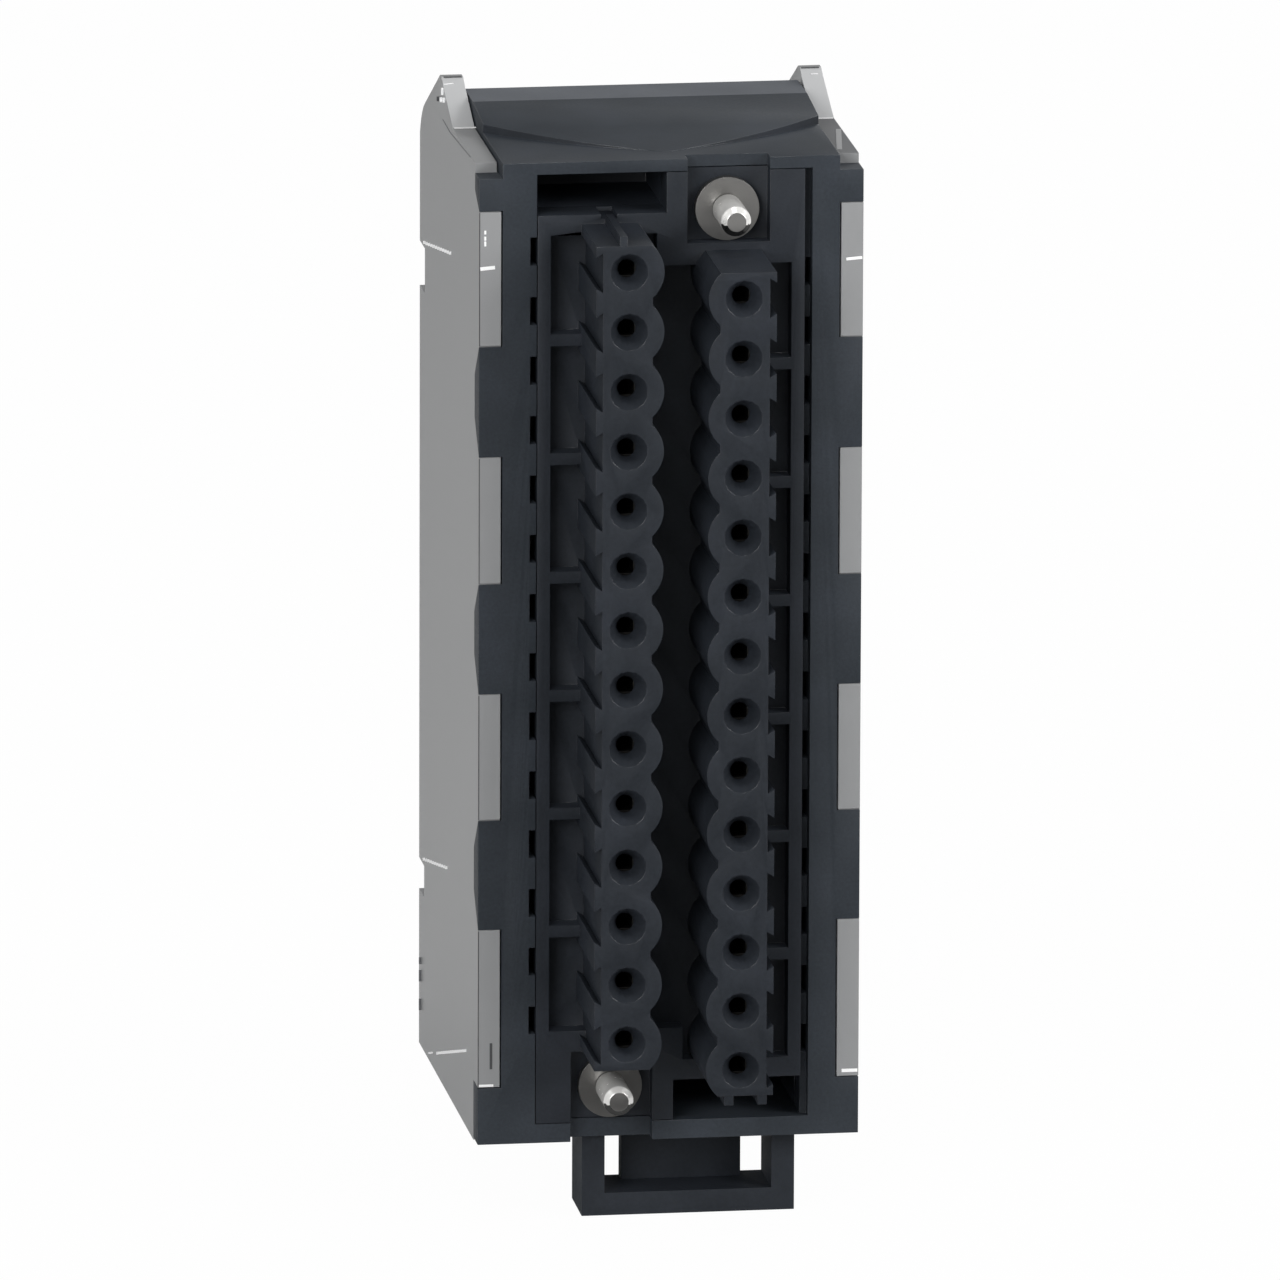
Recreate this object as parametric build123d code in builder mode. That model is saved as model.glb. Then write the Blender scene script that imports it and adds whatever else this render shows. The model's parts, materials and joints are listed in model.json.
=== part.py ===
import os
from math import cos, pi, sin

from build123d import *

os.makedirs("parts", exist_ok=True)

# Removable spring terminal block, in millimetres. X runs across the block, Z up along the
# socket rows, Y from the mating side (low) to the wiring side (high). Y = 0 is the mating
# plane and the origin is the middle of the field of sockets.

# Socket field: two rows along Z, shifted against each other
pitch = 5.0
per_row = 14
row_x = 4.73
row_shift = 1.24

# Socket columns on the mating side
socket_reach = 8.82
lobe_radius = 2.9
waist = 1.94
flank = 2.71
end_cap = 2.2
groove_depth = 0.56
groove_mouth = 2.6
groove_floor = 3.3
lead_in_diameter = 3.12
lead_in_depth = 1.7
lead_in_sides = 14
pin_hole_diameter = 1.5
sleeve_setback = 0.8

# Keying ribs on the free ends of the columns
key_rib_height = 0.8
key_rib_setback = 0.05
upper_rib_width = 0.62
upper_rib_offset = -0.46
lower_rib_width = 0.76
lower_rib_offsets = (-0.95, 1.82)

# Contact carrier
carrier_depth = 3.5
recess_depth = 1.8
recess_gap = 2.53
recess_past_row = 1.26
recess_step = 2.74
recess_step_x = 1.2
rim = 1.08
bar_thickness = 1.0
ledge_rise = 0.76
pocket_height = 3.45
pocket_inner_x = 0.4
pocket_depth = 12.0
ledge_groove_width = 1.3
ledge_groove_depth = 0.35
ledge_groove_length = 3.0

# Fixing screws, captive behind retaining washers
screw_below_opening = 3.15
screw_shift = -0.28
screw_diameter = 2.5
screw_shank_diameter = 2.0
screw_reach = 4.5
screw_tip_diameter = 1.6
screw_nose_diameter = 2.0
screw_tip_chamfer = 0.2
screw_chamfer = 0.4
screw_head_diameter = 4.6
screw_head_height = 2.6
screw_slot_width = 0.8
screw_slot_depth = 1.1
screw_gap = 0.1
screw_neck_gap = 0.15
washer_diameter = 5.3
washer_thickness = 0.8
washer_gap = 0.06
notch_half_width = 3.42
notch_below_screw = 2.95
notch_depth = 1.6

# Outer housing
carrier_gap = 0.07
top_skin = 1.0
bottom_skin = 1.6
shoulder = 2.83
side_skin = 1.2
body_depth = 23.6
vent_slot_height = 2.35
vent_slot_depth = 0.55
rebate_depth = 1.0

# Wedge-shaped roof, its leading edge curved back from the middle
roof_rise = 1.29
roof_flat = 5.2
roof_apex_y = 3.0
roof_edge_y = 12.0
roof_bow_y = 6.6

# Flange teeth that hold the clear cover
tooth_depth = 2.6
tooth_height = 9.3
tooth_pitch = 20.0
tooth_mid_z = 1.2
tooth_slope = 2.9
top_tooth_height = 2.7
top_tooth_drop = 1.25
bottom_tooth_height = 4.8

# Cable tie loop under the housing
loop_x = 2.03
loop_width = 17.8
loop_drop = 7.03
loop_bar = 1.92
loop_rear_y = 2.4
loop_depth = 5.8
loop_plate_width = 10.0
loop_plate_thickness = 1.6
loop_root = 1.0

# Terminal front with one chamber for each contact
front_gap = 0.1
front_proud = 0.4
front_wall = 3.6
chamber_rib = 1.1
chamber_inner_x = 3.4
chamber_outer_wall = 1.05
wire_entry_width = 2.8
wire_mouth_width = 4.0
wire_mouth_depth = 1.4
wire_from_chamber_wall = 2.3
driver_slot_width = 1.6
driver_slot_from_wire = 3.3
head_well_depth = 5.0
head_well_gap = 0.3

# Contacts, each folded from one strip, and their clamping springs
sheet = 0.4
contact_gap = 0.05
bar_stand_off = 1.1
bar_wall_gap = 0.2
bar_end_gap = 2.9
spring_sheet = 0.3
spring_bend = 1.0
spring_wall_gap = 0.1
spring_side_gap = 0.45
spring_heel_gap = 0.8
spring_end_gap = 5.2
spring_bar_gap = 0.25
spring_heel_run = 3.4

# Clear cover frame and its hinged door
cover_wall = 1.82
cover_gap = 0.13
wiring_depth = 12.9
cover_tooth_gap = 0.1
cover_top_drop = 0.45
cover_toe = 0.5
cover_heel = 0.25
ear_rise = 2.35
ear_tip = 0.75
ear_shoulder_drop = 0.45
ear_shoulder_run = 1.0
ear_run = 7.3
nose_run = 2.9
nose_rise = 3.0
front_edge_drop = 5.15
front_notch_depth = 1.4
front_notches = ((24.8, 3.8), (-27.75, 2.7))
thumb_step_width = 1.8
thumb_step_depth = 0.5
cross_bar_width = 2.0
cross_bar_depth = 1.9
door_thickness = 1.6
door_front_setback = 0.2
door_bar_gap = 0.25
door_edge_gap = 0.25
hinge_inset = 1.18
lug_radius = 0.95
knuckle_sides = 8
hinge_pin_radius = 0.45
hinge_pin_gap = 0.05
hinge_lug_height = 1.2
hinge_end_gap = 0.2
hinge_swing_gap = 0.2
grip_radius = 7.0
grip_depth = 1.2

# Sizes that follow from those above
row_reach = pitch * (per_row - 1) / 2 + row_shift
column_end = row_reach + end_cap
recess_half_width = row_x + flank + recess_gap
recess_high = row_reach + recess_past_row
recess_low = recess_high - recess_step
carrier_half_width = recess_half_width + rim
pocket_low = column_end + ledge_rise
opening_half_height = pocket_low + pocket_height
opening_half_width = carrier_half_width + carrier_gap
carrier_half_height = opening_half_height - carrier_gap
body_top = opening_half_height + top_skin
body_bottom = -opening_half_height - bottom_skin
body_half_width = opening_half_width + shoulder
cavity_half_width = body_half_width - side_skin
flange_half_width = body_half_width + cover_gap + cover_wall
screw_z = opening_half_height - screw_below_opening
notch_low = screw_z - notch_below_screw
front_face = body_depth + front_proud
front_half_width = cavity_half_width - front_gap
front_half_height = opening_half_height - front_gap
chamber_height = pitch - chamber_rib
chamber_outer_x = front_half_width - chamber_outer_wall
chamber_end = front_face - front_wall
sleeve_width = pin_hole_diameter + 2 * sheet
channel_width = sleeve_width + 2 * contact_gap
sleeve_start = -socket_reach + lead_in_depth + sleeve_setback
wire_x = chamber_outer_x - wire_from_chamber_wall
driver_x = wire_x - driver_slot_from_wire
cover_inner = body_half_width + cover_gap
cover_front = front_face + wiring_depth
door_front = cover_front - door_front_setback
door_rear = door_front - door_thickness
door_top = body_top - front_edge_drop - door_edge_gap
door_bottom = body_bottom
hinge_x = -cover_inner + hinge_inset
hinge_y = door_rear + door_thickness / 2
lug_room = lug_radius + hinge_swing_gap
top_tooth_low = body_top - top_tooth_drop - top_tooth_height

# Each tooth: its lower edge, its height, and how far its lower and upper ends slope inwards
teeth = [
    (tooth_mid_z + step * tooth_pitch - tooth_height / 2, tooth_height, tooth_slope, tooth_slope)
    for step in (-1, 0, 1)
]
teeth.insert(0, (body_bottom, bottom_tooth_height, 0.0, 0.0))
teeth.append((top_tooth_low, top_tooth_height, top_tooth_height / 2, 0.0))


def facing_rear(y):
    # Cross-section at depth y: local x is X, local y is Z, and the normal points at the viewer
    return Plane(origin=(0, y, 0), x_dir=(1, 0, 0), z_dir=(0, -1, 0))


def row_heights(side):
    # The row on the left (side -1) stands row_shift above the middle, the other as far below
    return [pitch * ((per_row - 1) / 2 - place) - side * row_shift for place in range(per_row)]


def sockets():
    return [(side * row_x, z) for side in (-1, 1) for z in row_heights(side)]


def screw_places():
    # Upper screw on the right, lower screw on the left
    return [(side * row_x, side * screw_z + screw_shift) for side in (1, -1)]


def column_outline(side):
    # One row of round lobes joined by a web, flat and grooved on its outer flank
    heights = row_heights(side)
    top = heights[0] + end_cap
    bottom = heights[-1] - end_cap
    outer = side * (row_x + flank)
    with BuildSketch(facing_rear(recess_depth)) as outline:
        with Locations((outer - side * (flank + waist) / 2, (top + bottom) / 2)):
            Rectangle(flank + waist, top - bottom)
        with Locations(*[(side * row_x, z) for z in heights]):
            Circle(lobe_radius)
        with Locations((outer - side * (flank + lobe_radius) / 2, (top + bottom) / 2)):
            Rectangle(flank + lobe_radius, top - bottom, mode=Mode.INTERSECT)
        with Locations(*[(outer, z) for z in heights]):
            Polygon(
                (0, groove_mouth / 2),
                (-side * groove_depth, groove_floor / 2),
                (-side * groove_depth, -groove_floor / 2),
                (0, -groove_mouth / 2),
                align=None,
                mode=Mode.SUBTRACT,
            )
    return outline.sketch


def carrier_outline():
    # Plate with a deep pocket left open at two opposite corners
    pocket_width = carrier_half_width - pocket_inner_x
    pocket_x = pocket_inner_x + pocket_width / 2
    pocket_z = (pocket_low + carrier_half_height) / 2
    with BuildSketch(facing_rear(carrier_depth)) as outline:
        Rectangle(2 * carrier_half_width, 2 * carrier_half_height)
        with Locations((-pocket_x, pocket_z), (pocket_x, -pocket_z)):
            Rectangle(pocket_width, carrier_half_height - pocket_low, mode=Mode.SUBTRACT)
    return outline.sketch


def recess_outline():
    # Recess around the columns, deeper at two corners, with cross bars left to the rim
    side_strip = recess_half_width - recess_step_x
    bar_length = recess_half_width - row_x - flank
    bar_x = recess_half_width - bar_length / 2
    with BuildSketch(facing_rear(0)) as outline:
        Rectangle(2 * recess_half_width, 2 * recess_low)
        for side in (-1, 1):
            with Locations((side * (recess_step_x + side_strip / 2), -side * recess_high / 2)):
                Rectangle(side_strip, recess_high)
            heights = row_heights(side)
            bar_heights = [z - pitch / 2 for z in heights[1:-1:2]]
            with Locations(*[(side * bar_x, z) for z in bar_heights]):
                Rectangle(bar_length, bar_thickness, mode=Mode.SUBTRACT)
    return outline.sketch


def notch_outline(edge):
    # Pocket round each screw, open to the nearer end of the block as far as edge
    height = edge - notch_low
    with BuildSketch(facing_rear(0)) as outline:
        for side in (-1, 1):
            with Locations((side * row_x, side * (notch_low + height / 2))):
                Rectangle(2 * notch_half_width, height)
    return outline.sketch


def funnel_corners(mouth, throat, depth):
    # Corners of a funnel along Y, flat-sided to keep the part light, from its mouth to its throat
    corners = []
    for radius, y in ((mouth / 2, 0), (throat / 2, depth)):
        for step in range(lead_in_sides):
            angle = 2 * pi * (step + 0.5) / lead_in_sides
            corners.append((radius * cos(angle), y, radius * sin(angle)))
    return corners


def round_holes(diameter, places, y):
    with BuildSketch(facing_rear(y)) as outline:
        with Locations(*places):
            Circle(diameter / 2)
    return outline.sketch


with BuildPart() as contact_carrier:
    extrude(carrier_outline(), amount=carrier_depth)
    extrude(recess_outline(), amount=-recess_depth, mode=Mode.SUBTRACT)
    for side in (-1, 1):
        extrude(column_outline(side), amount=recess_depth + socket_reach)
    # Keying ribs: one on the left column's top, two under the right column
    rib_length = socket_reach - key_rib_setback
    with BuildSketch(facing_rear(0)):
        with Locations((-row_x + upper_rib_offset, column_end)):
            Rectangle(upper_rib_width, 2 * key_rib_height)
        with Locations(*[(row_x + offset, -column_end) for offset in lower_rib_offsets]):
            Rectangle(lower_rib_width, 2 * key_rib_height)
    extrude(amount=rib_length)
    # Groove in the ledge, in line with the upper rib
    with BuildSketch(facing_rear(0)):
        with Locations((-row_x + upper_rib_offset, pocket_low)):
            Rectangle(ledge_groove_width, 2 * ledge_groove_depth)
    extrude(amount=-ledge_groove_length, mode=Mode.SUBTRACT)
    # Funnel and contact channel of every socket
    with Locations(*[(x, -socket_reach, z) for x, z in sockets()]):
        ConvexPolyhedron(
            funnel_corners(lead_in_diameter, pin_hole_diameter, lead_in_depth),
            mode=Mode.SUBTRACT,
        )
    with BuildSketch(facing_rear(carrier_depth)):
        with Locations(*sockets()):
            Rectangle(channel_width, channel_width)
    extrude(amount=carrier_depth + socket_reach - lead_in_depth, mode=Mode.SUBTRACT)
    # Screw pockets and screw holes
    extrude(notch_outline(carrier_half_height), amount=-notch_depth, mode=Mode.SUBTRACT)
    extrude(
        round_holes(screw_diameter + 2 * screw_gap, screw_places(), 0),
        amount=-carrier_depth,
        mode=Mode.SUBTRACT,
    )
contact_carrier.part.label = "contact_carrier"
export_step(contact_carrier.part, "parts/contact_carrier.step")


with BuildPart() as roof:
    ridge_y = body_depth - roof_flat
    with BuildSketch(Plane.YZ):
        Polygon(
            (roof_apex_y, body_top),
            (ridge_y, body_top + roof_rise),
            (body_depth, body_top + roof_rise),
            (body_depth, body_top),
            align=None,
        )
    extrude(amount=body_half_width, both=True)
    with BuildSketch(Plane.XY.offset(body_top)):
        with BuildLine():
            for side in (-1, 1):
                ThreePointArc(
                    (0, roof_apex_y),
                    (side * body_half_width / 2, roof_bow_y),
                    (side * body_half_width, roof_edge_y),
                )
            Polyline(
                (-body_half_width, roof_edge_y),
                (-body_half_width, body_depth),
                (body_half_width, body_depth),
                (body_half_width, roof_edge_y),
            )
        make_face()
    extrude(amount=roof_rise, mode=Mode.INTERSECT)


def tooth_points(low, height, low_slope, high_slope, gap=0.0):
    # Side view of a tooth: upright at the mating plane, narrower where it ends
    return [
        (0, low - gap),
        (0, low + height + gap),
        (tooth_depth, low + height - high_slope + gap),
        (tooth_depth, low + low_slope - gap),
    ]


with BuildPart() as outer_housing:
    body_z = (body_top + body_bottom) / 2
    with BuildSketch(facing_rear(body_depth)):
        with Locations((0, body_z)):
            Rectangle(2 * body_half_width, body_top - body_bottom)
    extrude(amount=body_depth)
    add(roof.part)
    for side in (-1, 1):
        with BuildSketch(Plane.YZ.offset(side * body_half_width)):
            for tooth in teeth:
                Polygon(*tooth_points(*tooth), align=None)
        extrude(amount=side * (flange_half_width - body_half_width))
    # Opening for the carrier, slotted along both sides, and the room for the terminal front
    with BuildSketch(facing_rear(0)):
        Rectangle(2 * opening_half_width, 2 * opening_half_height)
        for side in (-1, 1):
            with Locations(*[(side * opening_half_width, z) for z in row_heights(side)]):
                Rectangle(2 * vent_slot_depth, vent_slot_height)
    extrude(amount=-carrier_depth, mode=Mode.SUBTRACT)
    # Shallow rebate that joins the slots on the right
    with BuildSketch(facing_rear(0)):
        with Locations((opening_half_width, 0)):
            Rectangle(2 * vent_slot_depth, 2 * opening_half_height)
    extrude(amount=-rebate_depth, mode=Mode.SUBTRACT)
    with BuildSketch(facing_rear(body_depth)):
        Rectangle(2 * cavity_half_width, 2 * opening_half_height)
    extrude(amount=body_depth - carrier_depth, mode=Mode.SUBTRACT)
    extrude(notch_outline(body_top + bottom_skin), amount=-notch_depth, mode=Mode.SUBTRACT)
    # Cable tie loop with its backing plate
    loop_top = body_bottom + loop_root
    loop_bottom = body_bottom - loop_drop
    with BuildSketch(facing_rear(loop_rear_y)):
        with Locations((loop_x, (loop_top + loop_bottom) / 2)):
            Rectangle(loop_width, loop_top - loop_bottom)
        with Locations((loop_x, (body_bottom + loop_bottom + loop_bar) / 2)):
            Rectangle(loop_width - 2 * loop_bar, loop_drop - loop_bar, mode=Mode.SUBTRACT)
    extrude(amount=-loop_depth)
    with BuildSketch(facing_rear(loop_rear_y + loop_depth)):
        with Locations((loop_x, (loop_top + loop_bottom) / 2)):
            Rectangle(loop_plate_width, loop_top - loop_bottom)
    extrude(amount=loop_plate_thickness)
outer_housing.part.label = "outer_housing"
export_step(outer_housing.part, "parts/outer_housing.step")


with BuildPart() as terminal_front:
    with BuildSketch(facing_rear(front_face)):
        Rectangle(2 * front_half_width, 2 * front_half_height)
    extrude(amount=front_face - carrier_depth)
    # The corner pockets of the carrier go on into this block
    front_pocket_width = carrier_half_width - pocket_inner_x
    front_pocket_x = pocket_inner_x + front_pocket_width / 2
    front_pocket_z = (pocket_low + front_half_height) / 2
    with BuildSketch(facing_rear(pocket_depth)):
        with Locations((-front_pocket_x, front_pocket_z), (front_pocket_x, -front_pocket_z)):
            Rectangle(front_pocket_width, front_half_height - pocket_low)
    extrude(amount=pocket_depth - carrier_depth, mode=Mode.SUBTRACT)
    # Chambers, open towards the carrier
    chamber_x = (chamber_inner_x + chamber_outer_x) / 2
    with BuildSketch(facing_rear(chamber_end)):
        for side in (-1, 1):
            with Locations(*[(side * chamber_x, z) for z in row_heights(side)]):
                Rectangle(chamber_outer_x - chamber_inner_x, chamber_height)
    extrude(amount=chamber_end - carrier_depth, mode=Mode.SUBTRACT)
    # Square wire entries with bevelled mouths, and screwdriver slots
    with BuildSketch(facing_rear(front_face)):
        for side in (-1, 1):
            with Locations(*[(side * wire_x, z) for z in row_heights(side)]):
                Rectangle(wire_entry_width, wire_entry_width)
    extrude(amount=front_wall, mode=Mode.SUBTRACT)
    wiring_side = terminal_front.faces().sort_by(Axis.Y)[-1]
    chamfer(
        [edge for mouth in wiring_side.inner_wires() for edge in mouth.edges()],
        length=(wire_mouth_width - wire_entry_width) / 2,
        length2=wire_mouth_depth,
        reference=wiring_side,
    )
    with BuildSketch(facing_rear(front_face)):
        for side in (-1, 1):
            with Locations(*[(side * driver_x, z) for z in row_heights(side)]):
                Rectangle(driver_slot_width, chamber_height - 2 * spring_side_gap)
    extrude(amount=front_wall, mode=Mode.SUBTRACT)
    # Screw bores with a well for each head
    extrude(
        round_holes(screw_diameter + 2 * screw_gap, screw_places(), front_face),
        amount=front_face - carrier_depth,
        mode=Mode.SUBTRACT,
    )
    extrude(
        round_holes(screw_head_diameter + 2 * head_well_gap, screw_places(), front_face),
        amount=head_well_depth,
        mode=Mode.SUBTRACT,
    )
terminal_front.part.label = "terminal_front"
export_step(terminal_front.part, "parts/terminal_front.step")


def make_contact(side, z, name):
    # Square sleeve for the pin, then a bar that cranks outwards and runs on beside the wire
    sleeve_end = carrier_depth / 2
    bar_start_x = side * (row_x + (sleeve_width - sheet) / 2)
    bar_x = side * (chamber_outer_x - bar_wall_gap - sheet / 2)
    crank_y = carrier_depth + bar_stand_off
    with BuildPart() as contact:
        with BuildSketch(facing_rear(sleeve_end)):
            with Locations((side * row_x, z)):
                Rectangle(sleeve_width, sleeve_width)
                Rectangle(pin_hole_diameter, pin_hole_diameter, mode=Mode.SUBTRACT)
        extrude(amount=sleeve_end - sleeve_start)
        with BuildSketch(Plane.XY.offset(z - sleeve_width / 2)):
            with BuildLine() as run:
                Polyline(
                    (bar_start_x, sleeve_end - sheet),
                    (bar_start_x, crank_y),
                    (bar_x, crank_y),
                    (bar_x, chamber_end - bar_end_gap),
                )
            trace(run.line, sheet)
        extrude(amount=sleeve_width)
    contact.part.label = name
    export_step(contact.part, f"parts/{name}.step")


def spring_outline(side):
    # Hairpin: an anchored leg, a heel by the carrier and a leg leaning on the contact's bar
    anchor_x = chamber_inner_x + spring_wall_gap + spring_sheet / 2
    heel_y = carrier_depth + bar_stand_off + sheet / 2 + spring_heel_gap
    tip_x = chamber_outer_x - bar_wall_gap - sheet - spring_bar_gap - spring_sheet / 2
    tip_y = chamber_end - spring_end_gap
    heel_x = anchor_x + spring_heel_run
    with BuildSketch(Plane.XY) as outline:
        with BuildLine() as run:
            Polyline(
                (side * anchor_x, tip_y),
                (side * anchor_x, heel_y + spring_bend),
                (side * (anchor_x + spring_bend), heel_y),
                (side * heel_x, heel_y),
                (side * tip_x, tip_y),
            )
        trace(run.line, spring_sheet)
    return outline.sketch


def make_spring_pair(place, name):
    with BuildPart() as springs:
        half_width = chamber_height / 2 - spring_side_gap
        for side in (-1, 1):
            with Locations((0, 0, row_heights(side)[place])):
                add(extrude(spring_outline(side), amount=half_width, both=True, mode=Mode.PRIVATE))
    springs.part.label = name
    export_step(springs.part, f"parts/{name}.step")


for place in range(per_row):
    number = f"{place + 1:02d}"
    make_contact(-1, row_heights(-1)[place], f"contact_left_{number}")
    make_contact(1, row_heights(1)[place], f"contact_right_{number}")
    make_spring_pair(place, f"clamp_springs_{number}")


def make_screw(place, name):
    # Turned profile from the tip to the slotted head, thinner where the retaining washer holds it
    x, z = place
    head_seat = front_face - head_well_depth
    head_end = head_seat + screw_head_height
    thread = screw_diameter / 2
    thread_end = notch_depth - washer_thickness - screw_neck_gap
    shank = screw_shank_diameter / 2
    nose = screw_nose_diameter / 2
    tip = screw_tip_diameter / 2
    head = screw_head_diameter / 2
    with BuildPart() as screw:
        with BuildSketch(Plane(origin=(x, 0, z), x_dir=(1, 0, 0), z_dir=(0, 0, 1))):
            Polygon(
                (0, -screw_reach),
                (tip, -screw_reach),
                (nose, -screw_reach + screw_tip_chamfer),
                (thread, -screw_reach + screw_chamfer),
                (thread, thread_end),
                (shank, thread_end),
                (shank, head_seat),
                (head, head_seat),
                (head, head_end),
                (0, head_end),
                align=None,
            )
        revolve(axis=Axis((x, 0, z), (0, 1, 0)))
        with BuildSketch(facing_rear(head_end)):
            with Locations((x, z)):
                Rectangle(screw_head_diameter, screw_slot_width)
        extrude(amount=screw_slot_depth, mode=Mode.SUBTRACT)
    screw.part.label = name
    export_step(screw.part, f"parts/{name}.step")


upper_place, lower_place = screw_places()
make_screw(upper_place, "screw_upper")
make_screw(lower_place, "screw_lower")


with BuildPart() as retaining_washers:
    with BuildSketch(facing_rear(notch_depth)):
        with Locations(*screw_places()):
            Circle(washer_diameter / 2)
            Circle(screw_shank_diameter / 2 + washer_gap, mode=Mode.SUBTRACT)
    extrude(amount=washer_thickness)
retaining_washers.part.label = "retaining_washers"
export_step(retaining_washers.part, "parts/retaining_washers.step")


def knuckle(radius):
    # Section of a hinge knuckle about the door's axis, flat-sided to keep the part light
    with BuildSketch(Plane.XY) as section:
        with Locations((hinge_x, hinge_y)):
            RegularPolygon(radius, knuckle_sides, major_radius=False, rotation=180 / knuckle_sides)
    return section.sketch


def cover_profile(plane):
    # Side view of a cover wall: ear over the roof, sloping nose, fingers between the teeth
    wall_rear = tooth_depth + cover_tooth_gap
    wall_top = body_top - cover_top_drop
    ear_top = body_top + ear_rise
    front_top = body_top - front_edge_drop
    bottom = body_bottom - cover_heel
    with BuildSketch(plane) as profile:
        with BuildLine():
            nose = (cover_front - nose_run, front_top + nose_rise)
            Polyline(
                nose,
                (body_depth + ear_tip, ear_top),
                (body_depth, ear_top),
                (body_depth - ear_shoulder_run, ear_top - ear_shoulder_drop),
                (body_depth - ear_run, wall_top),
                (wall_rear, wall_top),
                (wall_rear, bottom),
                (cover_front, bottom - cover_toe),
                (cover_front, front_top),
            )
            RadiusArc((cover_front, front_top), nose, -nose_run * 2)
        make_face()
        # Fingers reach the mating plane between each pair of teeth
        for below, above in zip(teeth[:-1], teeth[1:]):
            low_points = tooth_points(*below, gap=cover_tooth_gap)
            high_points = tooth_points(*above, gap=cover_tooth_gap)
            Polygon(
                low_points[1],
                high_points[0],
                (wall_rear, high_points[3][1]),
                (wall_rear, low_points[2][1]),
                align=None,
            )
    return profile.sketch


with BuildPart() as cover_frame:
    extrude(cover_profile(Plane.YZ.offset(-flange_half_width)), amount=cover_wall)
    extrude(cover_profile(Plane.YZ.offset(cover_inner)), amount=cover_wall)
    # Cross bars behind the door join the two walls
    bar_front = door_rear - door_bar_gap
    with BuildSketch(facing_rear(bar_front)):
        with Locations((0, door_top - cross_bar_width / 2), (0, door_bottom + cross_bar_width / 2)):
            Rectangle(2 * cover_inner + cover_wall, cross_bar_width)
    extrude(amount=cross_bar_depth)
    # Notches in the left wall's front edge, each with a thinned step behind it
    notch_rear = cover_front - front_notch_depth
    for z, height in front_notches:
        with BuildSketch(Plane.YZ.offset(-flange_half_width)):
            with Locations((cover_front - front_notch_depth / 2, z)):
                Rectangle(front_notch_depth, height)
        extrude(amount=cover_wall, mode=Mode.SUBTRACT)
        with BuildSketch(Plane.YZ.offset(-flange_half_width)):
            with Locations((notch_rear - thumb_step_width / 2, z)):
                Rectangle(thumb_step_width, height)
        extrude(amount=thumb_step_depth, mode=Mode.SUBTRACT)
        # Two drilled lugs carry the door's pins
        for side in (-1, 1):
            lug_z = z + side * (height + hinge_lug_height) / 2
            lug_root = hinge_x + cover_inner + cover_wall / 2
            with BuildSketch(Plane.XY.offset(lug_z - hinge_lug_height / 2)):
                with Locations((hinge_x - lug_root / 2, hinge_y)):
                    Rectangle(lug_root, 2 * lug_radius)
                add(knuckle(lug_radius))
                with Locations((hinge_x, hinge_y)):
                    Circle(hinge_pin_radius + hinge_pin_gap, mode=Mode.SUBTRACT)
            extrude(amount=hinge_lug_height)
cover_frame.part.label = "cover_frame"
export_step(cover_frame.part, "parts/cover_frame.step")


with BuildPart() as door:
    door_right = cover_inner - door_edge_gap
    with BuildSketch(Plane.XY.offset(door_bottom)):
        with Locations(((hinge_x + door_right) / 2, hinge_y)):
            Rectangle(door_right - hinge_x, door_thickness)
        add(knuckle(door_thickness / 2))
    extrude(amount=door_top - door_bottom)
    # Room for the lugs, and the pins that reach into them from between
    for z, height in front_notches:
        with BuildSketch(facing_rear(door_front)):
            for side in (-1, 1):
                with Locations((hinge_x, z + side * (height + hinge_lug_height) / 2)):
                    Rectangle(2 * lug_room, hinge_lug_height + 2 * hinge_end_gap)
        extrude(amount=door_thickness, mode=Mode.SUBTRACT)
        with BuildSketch(Plane.XY.offset(z)):
            with Locations((hinge_x, hinge_y)):
                Circle(hinge_pin_radius)
        extrude(amount=height / 2 + hinge_lug_height, both=True)
    # Finger grip scooped into the free edge
    with BuildSketch(facing_rear(door_front)):
        with Locations((door_right + grip_radius - grip_depth, (door_top + door_bottom) / 2)):
            Circle(grip_radius)
    extrude(amount=door_thickness, mode=Mode.SUBTRACT)
door.part.label = "door"
export_step(door.part, "parts/door.step")
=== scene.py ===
import json
import math

import bpy
from mathutils import Matrix, Vector


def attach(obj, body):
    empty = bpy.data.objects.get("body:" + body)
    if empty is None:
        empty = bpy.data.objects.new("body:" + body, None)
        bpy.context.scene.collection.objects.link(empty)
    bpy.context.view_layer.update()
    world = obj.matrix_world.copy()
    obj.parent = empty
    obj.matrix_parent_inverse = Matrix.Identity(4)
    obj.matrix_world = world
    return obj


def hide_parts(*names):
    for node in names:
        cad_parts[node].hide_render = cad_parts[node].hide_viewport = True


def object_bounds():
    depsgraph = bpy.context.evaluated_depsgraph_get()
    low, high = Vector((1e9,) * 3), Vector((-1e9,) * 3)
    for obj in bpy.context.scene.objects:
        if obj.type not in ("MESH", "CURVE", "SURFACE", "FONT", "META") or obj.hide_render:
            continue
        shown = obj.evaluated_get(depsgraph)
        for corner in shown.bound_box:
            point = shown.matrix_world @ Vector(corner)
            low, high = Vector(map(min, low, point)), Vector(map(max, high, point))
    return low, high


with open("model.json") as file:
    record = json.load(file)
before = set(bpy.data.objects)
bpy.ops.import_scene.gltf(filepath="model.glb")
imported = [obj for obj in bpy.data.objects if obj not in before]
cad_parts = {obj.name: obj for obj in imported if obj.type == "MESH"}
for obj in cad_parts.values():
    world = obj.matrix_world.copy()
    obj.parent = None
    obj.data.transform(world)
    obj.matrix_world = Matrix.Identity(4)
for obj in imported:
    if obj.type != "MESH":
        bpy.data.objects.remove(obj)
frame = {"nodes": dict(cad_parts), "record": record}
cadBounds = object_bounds()
print("frame loaded:", len(frame["nodes"]), "nodes")

mm = 0.001
nodes = frame["nodes"]


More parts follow.
